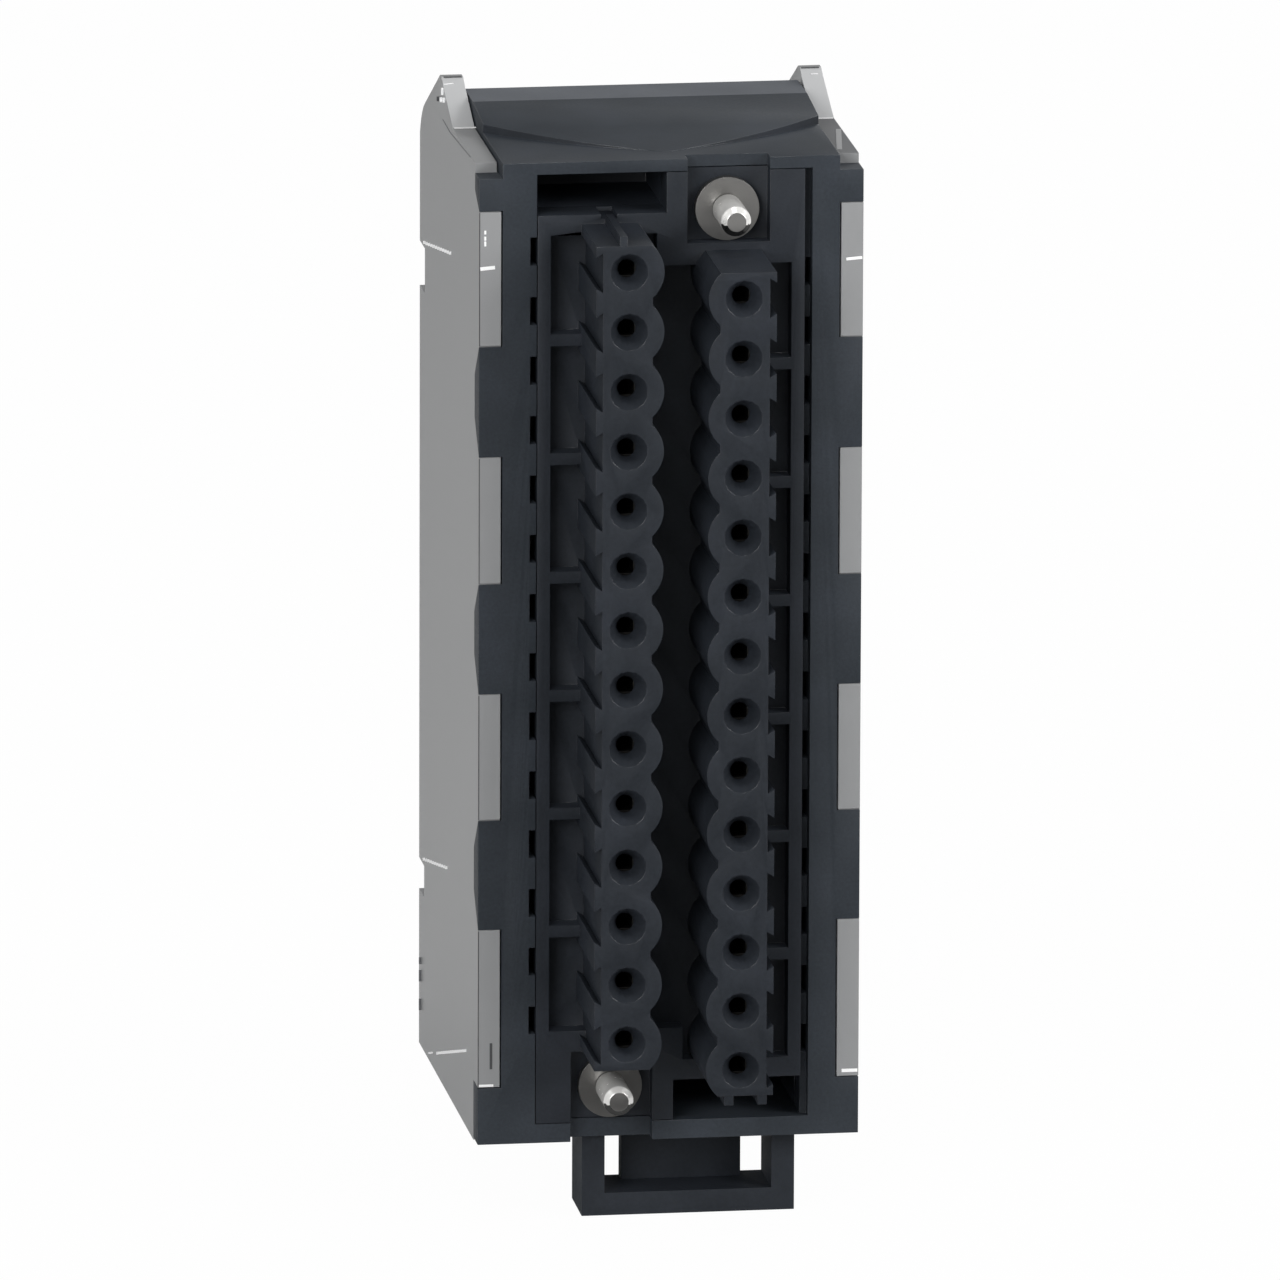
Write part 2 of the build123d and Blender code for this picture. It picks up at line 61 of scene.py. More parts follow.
def srgb(code):
    # "#3A3D41" to the linear colour that a shader socket takes
    parts = [int(code[i:i + 2], 16) / 255 for i in (1, 3, 5)]
    linear = [p / 12.92 if p <= 0.04045 else ((p + 0.055) / 1.055) ** 2.4 for p in parts]
    return (*linear, 1.0)


def addNode(tree, kind, settings=None, links=None):
    # One shader node; settings are its properties or sockets, links its inputs
    node = tree.nodes.new(kind)
    for key, value in (settings or {}).items():
        if isinstance(key, int) or key in node.inputs:
            node.inputs[key].default_value = value
        else:
            setattr(node, key, value)
    for key, socket in (links or {}).items():
        tree.links.new(socket, node.inputs[key])
    return node


def newMaterial(name):
    material = bpy.data.materials.new(name)
    material.use_nodes = True
    material.node_tree.nodes.clear()
    return material, material.node_tree


def setMaterial(piece, material):
    piece.data.materials.clear()
    piece.data.materials.append(material)


# The camera is fitted to the socket mouths in the photograph
camera = {
    "place": (-248.84, -1716.14, 418.41),   # mm
    "aim": (0.13814, 0.96233, -0.23419),    # the way it looks
    "roll": 0.0036,      # radians
    "lens": 609.7,       # mm
    "filmWidth": 36.0,   # mm
    "nearest": 0.1,      # m
    "farthest": 50.0,    # m
}


def makeCamera():
    data = bpy.data.cameras.new("camera")
    data.lens = camera["lens"]
    data.sensor_width = camera["filmWidth"]
    data.clip_start = camera["nearest"]
    data.clip_end = camera["farthest"]
    eye = bpy.data.objects.new("camera", data)
    eye.location = Vector(camera["place"]) * mm
    turn = Vector(camera["aim"]).to_track_quat("-Z", "Y").to_matrix().to_4x4()
    eye.rotation_euler = turn.to_euler()
    eye.rotation_euler.rotate_axis("Z", camera["roll"])
    bpy.context.scene.collection.objects.link(eye)
    bpy.context.scene.camera = eye


makeCamera()
print("camera placed")


# Where most values of a noise texture lie
fromNoise = {"From Min": 0.3, "From Max": 0.7}

polyamide = {
    # tones are the dark patch, the usual tone and the light patch
    "housing": ("#2B3036", "#2F343A", "#33383F"),
    "inserts": ("#20242A", "#24282E", "#282C33"),
    # painted sheen: paler tones for the flat strip at the back of the roof
    "roofStripSheen": ("#575B61", "#5B5F65", "#5F6369"),
    "patchSize": 6.0,              # mm, slow drift of the tone over a moulding
    "patchDetail": 3.0,
    "grainSize": 0.28,             # mm, mould texture, drawn a little coarse so that it shows
    "grainDetail": 4.0,
    "grainSharpness": 0.65,
    "grainDepth": 0.012,           # mm
    "grainStrength": 0.6,
    "speckle": (0.86, 1.14),       # how far the grain darkens and lightens the tone
    "roughness": (0.50, 0.62),
    "sheen": 0.22,                 # Specular IOR Level, held down by the texture of the mould
    "edgeRoughness": (0.20, 0.28),
    "edgeSheen": 0.5,
    "ior": 1.53,
}


def makePolyamide(name, tones, roughness=polyamide["roughness"], sheen=polyamide["sheen"]):
    # Glass-filled polyamide, injection moulded in a spark-eroded tool: dark anthracite, matt, with
    # a fine even grain
    material, tree = newMaterial(name)
    place = addNode(tree, "ShaderNodeTexCoord").outputs["Object"]
    patch = addNode(tree, "ShaderNodeTexNoise",
                    {"Scale": 1 / (polyamide["patchSize"] * mm),
                     "Detail": polyamide["patchDetail"]}, {"Vector": place})
    tone = addNode(tree, "ShaderNodeValToRGB", links={"Fac": patch.outputs["Fac"]})
    darkest, lightest = tone.color_ramp.elements
    darkest.position = fromNoise["From Min"]
    darkest.color = srgb(tones[0])
    lightest.position = fromNoise["From Max"]
    lightest.color = srgb(tones[2])
    tone.color_ramp.elements.new(0.5).color = srgb(tones[1])
    grain = addNode(tree, "ShaderNodeTexNoise",
                    {"Scale": 1 / (polyamide["grainSize"] * mm), "Detail": polyamide["grainDetail"],
                     "Roughness": polyamide["grainSharpness"]}, {"Vector": place})
    low, high = polyamide["speckle"]
    speckle = addNode(tree, "ShaderNodeMapRange", {**fromNoise, "To Min": low, "To Max": high},
                      {"Value": grain.outputs["Fac"]})
    colour = addNode(tree, "ShaderNodeVectorMath", {"operation": "SCALE"},
                     {0: tone.outputs["Color"], "Scale": speckle.outputs["Result"]})
    low, high = roughness
    gloss = addNode(tree, "ShaderNodeMapRange", {**fromNoise, "To Min": low, "To Max": high},
                    {"Value": grain.outputs["Fac"]})
    bump = addNode(tree, "ShaderNodeBump", {"Strength": polyamide["grainStrength"],
                                            "Distance": polyamide["grainDepth"] * mm},
                   {"Height": grain.outputs["Fac"]})
    shader = addNode(tree, "ShaderNodeBsdfPrincipled",
                     {"IOR": polyamide["ior"], "Specular IOR Level": sheen},
                     {"Base Color": colour.outputs["Vector"], "Roughness": gloss.outputs["Result"],
                      "Normal": bump.outputs["Normal"]})
    addNode(tree, "ShaderNodeOutputMaterial", links={"Surface": shader.outputs["BSDF"]})
    return material


polycarbonate = {
    "tint": "#C4C6C8",         # what white turns to through one wall
    "roughness": 0.05,
    "ior": 1.585,
    "waveSize": 9.0,           # mm, the slight unevenness of a moulded clear wall
    "waveDepth": 0.05,         # mm
    "waveStrength": 0.15,
    "smoke": "#98999A",        # the grey that the smoky plastic scatters back
    "paintedLightSmoke": "#C9CACB",     # painted light on the slopes of the ears
    "paintedShadeSmoke": "#6C6D6F",  # painted shade on the foot of the right ear, for the dark housing behind it
    "smokeRoughness": 0.35,
    "smokeSheen": 0.2,
    "wallSmoke": 0.88,         # share of scattered light, high as the walls are seen along them
    "earSmoke": 0.70,          # less in the thin ears over the roof
    "earFrom": (39.5, 42.0),   # mm, height over which the one turns into the other
    "paintedSmoke": 0.9,       # share where the painted light or painted shade grey is used
    "doorSmoke": 0.14,
}


def makePolycarbonate(name, wallSmoke, earSmoke, smoke=polycarbonate["smoke"]):
    # Smoky clear polycarbonate, injection moulded in a polished tool: glassy, with a flat milky
    # grey mixed in at a share set for each copy and changing with height, and faint waves in the
    # reflections
    material, tree = newMaterial(name)
    place = addNode(tree, "ShaderNodeTexCoord").outputs["Object"]
    waves = addNode(tree, "ShaderNodeTexNoise",
                    {"Scale": 1 / (polycarbonate["waveSize"] * mm), "Detail": 1.0},
                    {"Vector": place})
    bump = addNode(tree, "ShaderNodeBump", {"Strength": polycarbonate["waveStrength"],
                                            "Distance": polycarbonate["waveDepth"] * mm},
                   {"Height": waves.outputs["Fac"]})
    tint = srgb(polycarbonate["tint"])
    clear = addNode(tree, "ShaderNodeBsdfPrincipled",
                    {"Base Color": tint, "Roughness": polycarbonate["roughness"],
                     "IOR": polycarbonate["ior"], "Transmission Weight": 1.0},
                    {"Normal": bump.outputs["Normal"]})
    milky = addNode(tree, "ShaderNodeBsdfPrincipled",
                    {"Base Color": srgb(smoke), "Specular IOR Level": polycarbonate["smokeSheen"],
                     "Roughness": polycarbonate["smokeRoughness"]},
                    {"Normal": bump.outputs["Normal"]})
    height = addNode(tree, "ShaderNodeSeparateXYZ", links={0: place}).outputs["Z"]
    low, high = polycarbonate["earFrom"]
    share = addNode(tree, "ShaderNodeMapRange",
                    {"From Min": low * mm, "From Max": high * mm,
                     "To Min": wallSmoke, "To Max": earSmoke}, {"Value": height})
    mix = addNode(tree, "ShaderNodeMixShader",
                  links={0: share.outputs["Result"], 1: clear.outputs["BSDF"],
                         2: milky.outputs["BSDF"]})
    # Light that falls through is let pass, so that what lies behind the walls is lit
    passing = addNode(tree, "ShaderNodeBsdfTransparent", {"Color": tint})
    shadow = addNode(tree, "ShaderNodeLightPath").outputs["Is Shadow Ray"]
    whole = addNode(tree, "ShaderNodeMixShader",
                    links={0: shadow, 1: mix.outputs[0], 2: passing.outputs[0]})
    addNode(tree, "ShaderNodeOutputMaterial", links={"Surface": whole.outputs[0]})
    return material


plated = {
    "streakDetail": 5.0,
    "streakSharpness": 0.6,
    "streakStrength": 0.4,
    "edgeRadius": 0.05,   # mm
    "edgeSamples": 6,
    "finishes": {
        # colour, how metallic, lowest and highest roughness, size and depth of the streaks in mm
        # Nickel-plated steel, turned: bright, slightly warm, the plate a little milky
        "nickelPlatedSteel": ("#F4F3F0", 0.36, (0.20, 0.28), 0.8, 0.001),
        # Nickel-plated spring steel, stamped and tumbled: duller and warmer than the screws
        "tumbledNickel": ("#838280", 0.95, (0.28, 0.42), 0.25, 0.010),
        # Tin-plated copper alloy strip, painted dark grey as shade deep in the sockets, with a soft
        # sheen
        "tinnedCopperAlloyPaintedShade": ("#4B4A48", 1.0, (0.40, 0.52), 0.5, 0.003),
        # Stainless spring strip: cool and bright, rolled
        "stainlessStrip": ("#CFD0D2", 1.0, (0.20, 0.30), 0.5, 0.003),
        # The end of a screw is cut after plating, so it is bare steel, also painted darker as
        # shade; the lower half of the chamfer round it is painted shade
        "cutSteelAndPaintedShade": ("#8C8B89", 0.9, (0.30, 0.42), 0.2, 0.006),
        "paintedShadeSteel": ("#4A4A49", 0.9, (0.25, 0.35), 0.2, 0.004),
    },
}


def makePlated(name):
    # Plated or bare metal with the fine streaks left by turning or rolling. A dull plate scatters
    # some light, so it isn't metallic all through.
    colour, metallic, roughness, streakSize, streakDepth = plated["finishes"][name]
    material, tree = newMaterial(name)
    place = addNode(tree, "ShaderNodeTexCoord").outputs["Object"]
    streaks = addNode(tree, "ShaderNodeTexNoise",
                      {"Scale": 1 / (streakSize * mm), "Detail": plated["streakDetail"],
                       "Roughness": plated["streakSharpness"]}, {"Vector": place})
    low, high = roughness
    gloss = addNode(tree, "ShaderNodeMapRange", {**fromNoise, "To Min": low, "To Max": high},
                    {"Value": streaks.outputs["Fac"]})
    edge = addNode(tree, "ShaderNodeBevel", {"samples": plated["edgeSamples"],
                                             "Radius": plated["edgeRadius"] * mm})
    bump = addNode(tree, "ShaderNodeBump", {"Strength": plated["streakStrength"],
                                            "Distance": streakDepth * mm},
                   {"Height": streaks.outputs["Fac"], "Normal": edge.outputs["Normal"]})
    shader = addNode(tree, "ShaderNodeBsdfPrincipled",
                     {"Base Color": srgb(colour), "Metallic": metallic},
                     {"Roughness": gloss.outputs["Result"], "Normal": bump.outputs["Normal"]})
    addNode(tree, "ShaderNodeOutputMaterial", links={"Surface": shader.outputs["BSDF"]})
    return material


materials = {
    "housing": makePolyamide("glassFilledPolyamide", polyamide["housing"]),
    "clear_cover": makePolycarbonate("smokyPolycarbonate", polycarbonate["wallSmoke"],
                                     polycarbonate["earSmoke"]),
    "screw_steel": makePlated("nickelPlatedSteel"),
    "washer_steel": makePlated("tumbledNickel"),
    "contact_metal": makePlated("tinnedCopperAlloyPaintedShade"),
    "spring_steel": makePlated("stainlessStrip"),
}
slots = {part["node"]: part["material_slot"] for part in frame["record"]["subparts"]}
for node, slot in slots.items():
    setMaterial(nodes[node], materials[slot])
# The inserts are moulded of a darker batch than the housing, and the door is thin and clearer
# The darker polyamide of the inserts is also painted on the roof wedge's riser and inside the tie
# loop as painted shade
darkBatchAndPaintedShade = makePolyamide("darkBatchAndShadePolyamide", polyamide["inserts"])
for node in ("contact_carrier", "terminal_front"):
    setMaterial(nodes[node], darkBatchAndPaintedShade)
setMaterial(nodes["door"], makePolycarbonate("clearPolycarbonate", polycarbonate["doorSmoke"],
                                             polycarbonate["doorSmoke"]))
# Where two halves of the mould meet, the edge of a part is smooth and catches the light
housingEdge = makePolyamide("smoothPolyamideEdge", polyamide["housing"],
                            polyamide["edgeRoughness"], polyamide["edgeSheen"])
insertEdge = makePolyamide("smoothDarkEdge", polyamide["inserts"], polyamide["edgeRoughness"],
                           polyamide["edgeSheen"])
# Painted sheen: the flat strip at the back of the roof is painted paler, for the light it catches
# at a grazing angle
roofStripSheen = makePolyamide("paintedSheenPolyamide", polyamide["roofStripSheen"])
cutSteelAndPaintedShade = makePlated("cutSteelAndPaintedShade")
paintedShadeSteel = makePlated("paintedShadeSteel")
# Painted light and painted shade copies of the smoky polycarbonate, for the ears' slopes and the
# right ear's foot
paintedLightPolycarbonate = makePolycarbonate("paintedLightPolycarbonate", polycarbonate["paintedSmoke"],
                                     polycarbonate["paintedSmoke"], polycarbonate["paintedLightSmoke"])
paintedShadePolycarbonate = makePolycarbonate("paintedShadePolycarbonate", polycarbonate["paintedSmoke"],
                                        polycarbonate["paintedSmoke"],
                                        polycarbonate["paintedShadeSmoke"])
print("materials set on", len(slots), "nodes")


# Mouldings with softened edges: name, CAD node, body, radius of the edges in mm, the angle in
# degrees under which facets that meet are one round surface, and the material of the edges
mouldings = [
    ("housingMoulding", "outer_housing", "base", 0.06, 30.0, housingEdge),
    ("socketMoulding", "contact_carrier", "base", 0.05, 30.0, insertEdge),
    ("terminalMoulding", "terminal_front", "base", 0.08, 30.0, insertEdge),
    ("coverMoulding", "cover_frame", "base", 0.10, 12.0, None),
    ("doorMoulding", "door", "door", 0.10, 9.5, None),
    ("screwUpperTurned", "screw_upper", "screw_upper", 0.04, 30.0, None),
    ("screwLowerTurned", "screw_lower", "screw_lower", 0.04, 30.0, None),
]
moulded = {
    "mergeDistance": 0.001,   # mm
    "flatAngle": 0.5,         # degrees, facets that meet under less are one flat face
    "edgeAngle": 34.0,        # degrees, edges sharper than this are rounded
    "edgeSteps": 2,
    "broadFace": 40.0,        # mm2, faces larger than this keep the crease between them
    "leastCrease": 2.0,       # degrees
    # Faces of another tone: moulding, material, lowest and highest corner (mm) of the box that
    # holds them, an axis, and the lowest and highest share of their normals along it, where -1.01
    # to 1.01 is every face
    "patches": [
        # painted sheen on the flat strip at the back of the roof, and painted shade on the riser of
        # its wedge and inside the tie loop
        ("housingMoulding", roofStripSheen, (-15.0, 18.3, 42.3), (15.0, 24.0, 42.6), "z",
         (0.99, 1.01)),
        ("housingMoulding", darkBatchAndPaintedShade, (-15.0, 3.2, 41.1), (15.0, 12.5, 42.4), "z",
         (-0.1, 0.1)),
        ("housingMoulding", darkBatchAndPaintedShade, (-5.2, 1.9, -47.1), (9.2, 6.8, -41.4), "z",
         (-1.01, 1.01)),
        # painted light on the slopes of the ears, and painted shade on the foot of the right ear
        ("coverMoulding", paintedLightPolycarbonate, (-16.0, 16.0, 40.8), (16.0, 24.0, 43.8), "z",
         (0.85, 0.97)),
        ("coverMoulding", paintedShadePolycarbonate, (14.0, 2.5, 40.6), (16.0, 16.5, 40.8), "z",
         (0.99, 1.01)),
        # the screws' ends, bare cut steel also painted darker as shade, and painted shade on the
        # lower half of the chamfers round them
        ("screwUpperTurned", cutSteelAndPaintedShade, (3.0, -5.0, 35.0), (6.5, -4.0, 38.5), "y",
         (-1.01, -0.9)),
        ("screwLowerTurned", cutSteelAndPaintedShade, (-6.5, -5.0, -39.0), (-3.0, -4.0, -35.5), "y",
         (-1.01, -0.9)),
        ("screwUpperTurned", paintedShadeSteel, (3.0, -5.0, 35.0), (6.5, -3.8, 36.5), "y",
         (-0.9, -0.2)),
        ("screwLowerTurned", paintedShadeSteel, (-6.5, -5.0, -39.0), (-3.0, -3.8, -37.5), "y",
         (-0.9, -0.2)),
    ],
}


def paintPatches(piece):
    for name, material, low, high, axis, slope in moulded["patches"]:
        if name != piece.name:
            continue
        piece.data.materials.append(material)
        index = len(piece.data.materials) - 1
        for face in piece.data.polygons:
            inside = all(a * mm < c < b * mm for a, c, b in zip(low, face.center, high))
            if inside and slope[0] < getattr(face.normal, axis) < slope[1]:
                face.material_index = index


def keepCreases(mesh):
    # Broad flat faces that meet at a slight angle, such as the roof and its rear strip, stay flat
    broad = {}
    for face in mesh.polygons:
        if face.area > moulded["broadFace"] * mm * mm:
            for key in face.edge_keys:
                broad.setdefault(key, []).append(face.normal)
    for edge in mesh.edges:
        pair = broad.get(edge.key, [])
        if len(pair) == 2 and pair[0].angle(pair[1]) > math.radians(moulded["leastCrease"]):
            edge.use_edge_sharp = True


def makeMoulding(name, node, body, radius, facetAngle, edgeMaterial):
    # A merged copy of the CAD node, with its round surfaces smooth and its sharp edges rounded
    bpy.ops.object.select_all(action="DESELECT")
    piece = nodes[node].copy()
    piece.data = nodes[node].data.copy()
    piece.name = name
    bpy.context.scene.collection.objects.link(piece)
    piece.select_set(True)
    bpy.context.view_layer.objects.active = piece
    bpy.ops.object.mode_set(mode="EDIT")
    bpy.ops.mesh.select_all(action="SELECT")
    bpy.ops.mesh.remove_doubles(threshold=moulded["mergeDistance"] * mm)
    bpy.ops.mesh.dissolve_limited(angle_limit=math.radians(moulded["flatAngle"]))
    bpy.ops.object.mode_set(mode="OBJECT")
    keepCreases(piece.data)
    edges = piece.modifiers.new("softEdges", "BEVEL")
    edges.width = radius * mm
    edges.segments = moulded["edgeSteps"]
    edges.limit_method = "ANGLE"
    edges.angle_limit = math.radians(moulded["edgeAngle"])
    if edgeMaterial:
        piece.data.materials.append(edgeMaterial)
        edges.material = 1   # the slot just added
    bpy.ops.object.modifier_apply(modifier=edges.name)
    bpy.ops.object.shade_smooth_by_angle(angle=math.radians(facetAngle))
    paintPatches(piece)
    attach(piece, body)
    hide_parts(node)
    print(name, len(piece.data.polygons), "faces")


for moulding in mouldings:
    makeMoulding(*moulding)


# Painted marks on the clear moulding: the pale ones are painted glints, the middle one a painted
# lighter band, and the darker ones painted shade. Bars lie along a line of points (mm) on a face
# that looks along the axis; rows of fins stand on the outer face of the left wall, so that they
# show along it and hardly from the side.
pale = "#FBFBFB"
middle = "#9D9E9F"
shade = "#66676A"
dark = "#47484A"
paintedMarks = {
    "roughness": 0.5,
    # sizes in mm
    "thickness": 0.05,
    "chamfer": 0.01,
    "overlap": 0.02,      # where the runs of a bent bar meet
    "finReach": 0.20,
    "finPitch": 1.45,
    "bars": [
        # name, colour, axis, width in mm, points
        # pale bars: painted glints on the fingers and the ears
        ("topDashHigh", pale, "y", 0.16, [(-15.4, 0.0, 35.6), (-15.4, 0.0, 35.3)]),
        ("topDashMiddle", pale, "y", 0.16, [(-15.4, 0.0, 35.1), (-15.4, 0.0, 34.8)]),
        ("topDashLow", pale, "y", 0.16, [(-15.4, 0.0, 34.7), (-15.4, 0.0, 34.3)]),
        ("leftHighGlint", pale, "y", 0.30, [(-15.8, 0.0, 32.4), (-14.6, 0.0, 32.5)]),
        ("leftLowGlint", pale, "y", 0.20, [(-15.8, 0.0, -36.7), (-14.6, 0.0, -36.7)]),
        ("rightHighGlint", pale, "y", 0.24, [(14.5, 0.0, 32.4), (15.8, 0.0, 32.5)]),
        ("rightLowGlint", pale, "y", 0.28, [(14.5, 0.0, -36.4), (15.8, 0.0, -36.4)]),
        ("leftEarGlint", pale, "z", 0.40, [(-15.8, 16.2, 40.74), (-14.0, 16.2, 40.74)]),
        ("rightEarGlint", pale, "z", 0.34, [(14.1, 16.3, 40.72), (15.8, 16.3, 40.72)]),
        ("leftEarStreak", pale, "z", 0.25, [(-15.8, 22.6, 43.07), (-15.0, 22.7, 43.11)]),
        ("rightEarStreak", pale, "z", 0.25, [(14.9, 22.7, 43.11), (15.5, 22.7, 43.11)]),
        # a painted lighter band on the foot of the right ear
        ("rightEarBand", middle, "z", 0.45, [(15.6, 11.9, 40.71), (14.5, 4.2, 40.71)]),
        # painted shade along the left ear's foot, on the ears' caps and in a slot of a left finger
        ("footLine", shade, "x", 0.10, [(-15.9, 22.5, 40.1), (-15.9, 18.0, 40.0),
                                        (-15.9, 5.5, 40.6)]),
        ("leftEarCapShade", dark, "z", 0.27, [(-15.7, 23.5, 43.48), (-14.2, 23.5, 43.48)]),
        ("rightEarCapShade", dark, "z", 0.27, [(14.2, 23.5, 43.48), (15.7, 23.5, 43.48)]),
        ("paintedSlotShade", dark, "y", 0.22, [(-14.8, 0.0, -33.1), (-14.8, 0.0, -35.3)]),
    ],
    "rows": [
        # name, colour, height of the fins in mm, first and last place (depth, height)
        # pale rows: painted glints along the left wall and on the left ear
        ("upperRow", pale, 0.26, (34.0, 27.2), (16.4, 30.1)),
        ("middleRow", pale, 0.24, (33.9, -25.8), (18.2, -22.7)),
        ("lowerRow", pale, 0.24, (25.1, -40.4), (6.3, -35.3)),
        ("toeRow", pale, 0.14, (30.1, -41.7), (27.3, -40.9)),
        ("earRow", pale, 0.42, (23.9, 41.5), (20.4, 42.2)),
        ("earDash", pale, 0.60, (22.9, 42.5), (21.5, 42.6)),
        # painted shade: a spot on the left ear and marks near the wall's front edge
        ("earShade", dark, 0.40, (25.6, 41.2), (24.2, 41.5)),
        ("markHigh", shade, 0.60, (36.2, -35.2), (34.8, -34.9)),
        ("markMiddle", shade, 1.00, (36.2, -36.5), (34.8, -36.2)),
        ("markLow", shade, 1.00, (36.2, -39.0), (34.8, -38.7)),
    ],
    "leftWall": -15.9,
    # painted shade in the corner between each left finger and the wall, from z to z
    "corners": [(25.95, 37.10), (5.95, 16.45), (-14.05, -3.55), (-36.80, -23.55)],
    "cornerWidth": 0.09,
    "cornerDepth": 0.02,
}


def makeMarkMaterial(name, colour):
    # A matt material for the painted marks: pale for painted glints, darker for painted shade
    material, tree = newMaterial(name)
    shader = addNode(tree, "ShaderNodeBsdfPrincipled",
                     {"Base Color": srgb(colour), "Roughness": paintedMarks["roughness"]})
    addNode(tree, "ShaderNodeOutputMaterial", links={"Surface": shader.outputs["BSDF"]})
    return material


markMaterials = {
    pale: makeMarkMaterial("paintedGlint", pale),
    middle: makeMarkMaterial("paintedLighterBand", middle),
    shade: makeMarkMaterial("paintedShadeMark", shade),
    dark: makeMarkMaterial("paintedDarkShade", dark),
}


def makeBox(place, turn, size):
    # One small bar with chamfered edges; place and size in mm
    bpy.ops.object.select_all(action="DESELECT")
    bpy.ops.mesh.primitive_cube_add(size=mm, location=Vector(place) * mm, rotation=turn,
                                    scale=size)
    box = bpy.context.object
    bpy.ops.object.transform_apply(location=False, rotation=False, scale=True)
    chamfer = box.modifiers.new("chamfer", "BEVEL")
    chamfer.width = paintedMarks["chamfer"] * mm
    chamfer.segments = 1
    bpy.ops.object.modifier_apply(modifier=chamfer.name)
    return box


def joinMark(name, colour, boxes):
    # Boxes joined into one painted mark in the material of its colour, whose place is in its mesh
    bpy.ops.object.select_all(action="DESELECT")
    for box in boxes:
        box.select_set(True)
    markPiece = boxes[0]
    bpy.context.view_layer.objects.active = markPiece
    if len(boxes) > 1:
        bpy.ops.object.join()
    bpy.ops.object.transform_apply(location=True, rotation=True, scale=True)
    markPiece.name = name
    setMaterial(markPiece, markMaterials[colour])
    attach(markPiece, "base")


def makeBar(name, colour, axis, width, points):
    normal = Vector([float(axis == letter) for letter in "xyz"])
    boxes = []
    for start, end in zip(points[:-1], points[1:]):
        run = Vector(end) - Vector(start)
        along = run.normalized()
        turn = Matrix((along, normal.cross(along), normal)).transposed().to_euler()
        size = (run.length + paintedMarks["overlap"], width, paintedMarks["thickness"])
        boxes.append(makeBox(Vector(start) + run / 2, turn, size))
    joinMark(name, colour, boxes)


def makeRow(name, colour, height, first, last):
    # One fin is made, and the others are copies of it
    count = max(1, round((first[0] - last[0]) / paintedMarks["finPitch"]))
    x = paintedMarks["leftWall"] - paintedMarks["finReach"] / 2
    fins = []
    for step in range(count):
        share = (step + 0.5) / count
        y, z = [a + share * (b - a) for a, b in zip(first, last)]
        if fins:
            fin = fins[0].copy()
            fin.data = fins[0].data.copy()
            fin.location = Vector((x, y, z)) * mm
            bpy.context.scene.collection.objects.link(fin)
        else:
            fin = makeBox((x, y, z), (0, 0, 0), (paintedMarks["finReach"], paintedMarks["thickness"], height))
        fins.append(fin)
    joinMark(name, colour, fins)


for bar in paintedMarks["bars"]:
    makeBar(*bar)
for row in paintedMarks["rows"]:
    makeRow(*row)
# Painted shade in the corners between the left fingers and the wall
cornerX = paintedMarks["leftWall"] + paintedMarks["cornerWidth"] / 2
cornerY = paintedMarks["cornerDepth"]
for low, high in paintedMarks["corners"]:
    makeBar("paintedCornerShade", dark, "y", paintedMarks["cornerWidth"],
            [(cornerX, cornerY, low), (cornerX, cornerY, high)])
print("ribs made")


# Floor, backdrop and lights
studio = {
    # lengths in m
    "floorSize": 4.0,
    "floorColour": "#E4E4E4",
    "floorGlow": 0.98,     # how far the camera sees the floor as plain white
    # A black card lies before the block and is seen only in reflections, where it darkens the
    # lower half of the metal
    "cardSize": (0.20, 0.15),
    "cardPlace": (0.02, -0.095),
    "cardLift": 0.0005,
    "cardColour": "#101010",
    "worldStrength": 0.25,
    "shineShare": 0.2,     # how far metal and glass see the white backdrop
    "lights": [
        # name, place, size, watts; each looks at the block
        ("softTop", (-0.05, -0.30, 0.80), 0.18, 1.2),
        ("softRight", (0.78, -0.60, 0.44), 0.45, 6.2),
        ("softLeft", (-0.58, -0.80, 0.38), 0.50, 5.4),
        ("softBack", (0.55, 0.75, 0.50), 0.35, 2.0),
    ],
}
floorHeight = cadBounds[0][2]


def makeFloor():
    material, tree = newMaterial("paleFloor")
    diffuse = addNode(tree, "ShaderNodeBsdfDiffuse", {"Color": srgb(studio["floorColour"])})
    white = addNode(tree, "ShaderNodeEmission", {"Strength": 1.0})
    ray = addNode(tree, "ShaderNodeLightPath")
    either = addNode(tree, "ShaderNodeMath", {"operation": "MAXIMUM"},
                     {0: ray.outputs["Is Camera Ray"], 1: ray.outputs["Is Transmission Ray"]})
    seen = addNode(tree, "ShaderNodeMath", {"operation": "MULTIPLY", 1: studio["floorGlow"]},
                   {0: either.outputs[0]})
    mix = addNode(tree, "ShaderNodeMixShader",
                  links={0: seen.outputs[0], 1: diffuse.outputs[0], 2: white.outputs[0]})
    addNode(tree, "ShaderNodeOutputMaterial", links={"Surface": mix.outputs[0]})
    bpy.ops.object.select_all(action="DESELECT")
    bpy.ops.mesh.primitive_plane_add(size=studio["floorSize"], location=(0, 0, floorHeight))
    floor = bpy.context.object
    floor.name = "floor"
    setMaterial(floor, material)


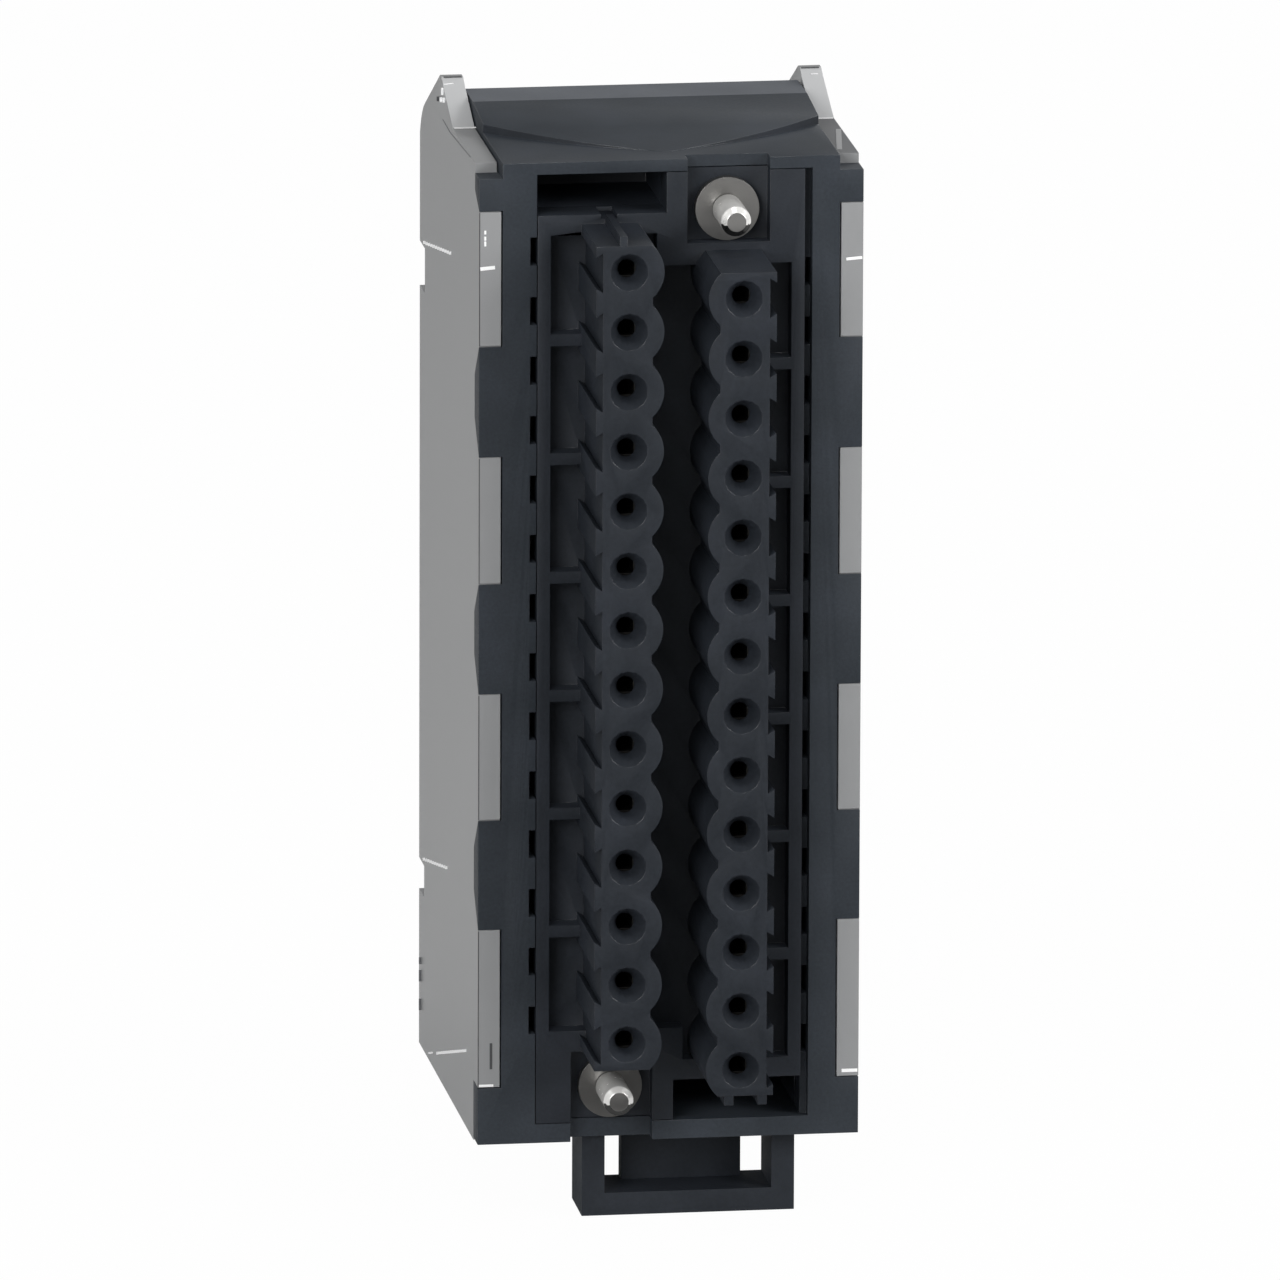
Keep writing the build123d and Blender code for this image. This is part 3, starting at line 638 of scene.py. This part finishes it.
def makeCard():
    material, tree = newMaterial("blackCard")
    diffuse = addNode(tree, "ShaderNodeBsdfDiffuse", {"Color": srgb(studio["cardColour"])})
    addNode(tree, "ShaderNodeOutputMaterial", links={"Surface": diffuse.outputs[0]})
    x, y = studio["cardPlace"]
    bpy.ops.object.select_all(action="DESELECT")
    bpy.ops.mesh.primitive_plane_add(size=1, location=(x, y, floorHeight + studio["cardLift"]))
    card = bpy.context.object
    card.scale = (*studio["cardSize"], 1)
    bpy.ops.object.transform_apply(location=False, rotation=False, scale=True)
    card.name = "blackCard"
    card.visible_camera = False
    card.visible_diffuse = False
    card.visible_shadow = False
    setMaterial(card, material)


def makeWorld():
    world = bpy.data.worlds.new("studio")
    world.use_nodes = True
    tree = world.node_tree
    tree.nodes.clear()
    fill = addNode(tree, "ShaderNodeBackground", {"Color": (1, 1, 1, 1),
                                                  "Strength": studio["worldStrength"]})
    white = addNode(tree, "ShaderNodeBackground", {"Color": (1, 1, 1, 1), "Strength": 1.0})
    ray = addNode(tree, "ShaderNodeLightPath")
    seen = addNode(tree, "ShaderNodeMath", {"operation": "MAXIMUM"},
                   {0: ray.outputs["Is Camera Ray"], 1: ray.outputs["Is Transmission Ray"]})
    shone = addNode(tree, "ShaderNodeMath", {"operation": "MULTIPLY", 1: studio["shineShare"]},
                    {0: ray.outputs["Is Glossy Ray"]})
    share = addNode(tree, "ShaderNodeMath", {"operation": "MAXIMUM"},
                    {0: seen.outputs[0], 1: shone.outputs[0]})
    mix = addNode(tree, "ShaderNodeMixShader",
                  links={0: share.outputs[0], 1: fill.outputs[0], 2: white.outputs[0]})
    addNode(tree, "ShaderNodeOutputWorld", links={"Surface": mix.outputs[0]})
    bpy.context.scene.world = world


def makeLights():
    for name, place, size, watts in studio["lights"]:
        data = bpy.data.lights.new(name, "AREA")
        data.size = size
        data.energy = watts
        lamp = bpy.data.objects.new(name, data)
        lamp.location = place
        lamp.rotation_euler = (-Vector(place)).to_track_quat("-Z", "Y").to_euler()
        bpy.context.scene.collection.objects.link(lamp)


makeFloor()
makeCard()
makeWorld()
makeLights()
bpy.context.scene.view_settings.view_transform = "Standard"
print("studio set")
